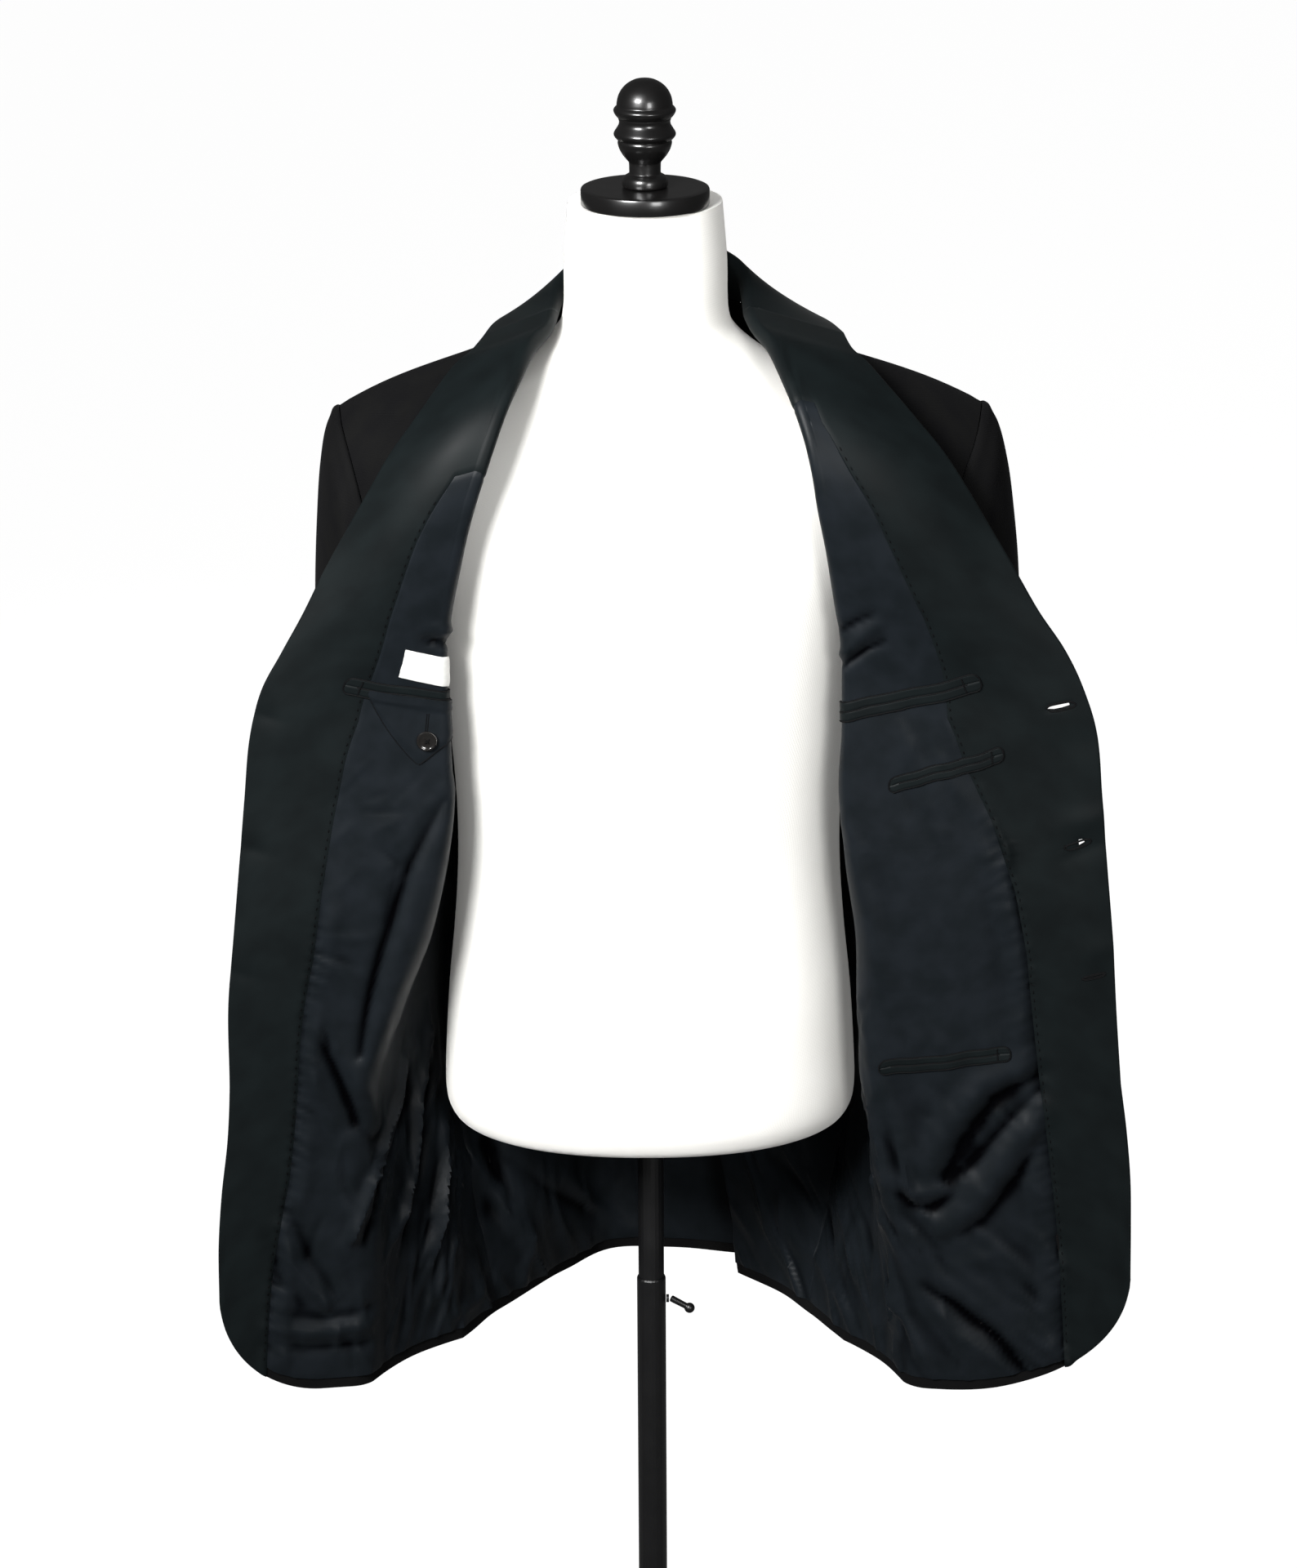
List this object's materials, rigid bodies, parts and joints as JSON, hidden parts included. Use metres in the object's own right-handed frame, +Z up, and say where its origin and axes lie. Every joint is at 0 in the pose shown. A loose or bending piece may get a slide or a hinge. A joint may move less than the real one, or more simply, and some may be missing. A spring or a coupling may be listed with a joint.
{
  "type": "tuxedo jacket on a dress form stand",
  "caption": "Black wool evening jacket with a satin shawl facing, worn open on a limbless padded dress form on a pole stand that slides in height.",
  "frame": {"origin": "centre of the base's underside, on the pole's axis", "axes": "+Z up along the pole, -Y the jacket's front, +X the viewer's right as seen from the front"},
  "size_m": [0.6622, 0.3449, 1.515],
  "materials": {
    "wool": "fine black worsted wool, matt",
    "satin": "black satin, soft sheen",
    "lining": "blue-black twill lining, smooth sheen",
    "button": "black polished button",
    "label": "bare off-white woven label",
    "jersey": "off-white jersey over a padded form",
    "turned_wood": "turned wood, black satin paint",
    "pole_steel": "black powder-coated steel tube",
    "base_iron": "black painted iron"
  },
  "bodies": {
    "stand": {"stand_base": "base_iron", "outer_tube": "pole_steel"},
    "dressed_form": {"back_left": "wool", "back_lining_left": "lining", "back_lining_right": "lining", "back_right": "wool", "facing_left": "satin", "facing_right": "satin", "finial": "turned_wood", "front_button_1": "button", "front_button_2": "button", "front_button_3": "button", "front_left": "wool", "front_lining_left": "lining", "front_lining_right": "lining", "front_right": "wool", "inner_button": "button", "inner_pocket_left": "satin", "inner_pocket_right": "satin", "inner_tube": "pole_steel", "label": "label", "lower_pocket_right": "satin", "neck_cap": "turned_wood", "pen_pocket_right": "satin", "pocket_tab": "lining", "side_left": "wool", "side_lining_left": "lining", "side_lining_right": "lining", "side_right": "wool", "torso_form": "jersey", "under_collar": "wool", "under_sleeve_left": "wool", "under_sleeve_right": "wool", "upper_sleeve_left": "wool", "upper_sleeve_right": "wool"},
    "clamp": {"clamp_stud": "pole_steel", "clamp_lever": "pole_steel"}
  },
  "joints": [
    {"name": "height_slide", "type": "slide", "parent": "stand", "child": "dressed_form", "axis": [0, 0, 1], "range_m": [-0.12, 0.15]},
    {"name": "clamp_turn", "type": "hinge", "parent": "stand", "child": "clamp", "pos_m": [0.012, 0, 0.597], "axis": [1, 0, 0], "range_deg": [-90, 180]}
  ]
}
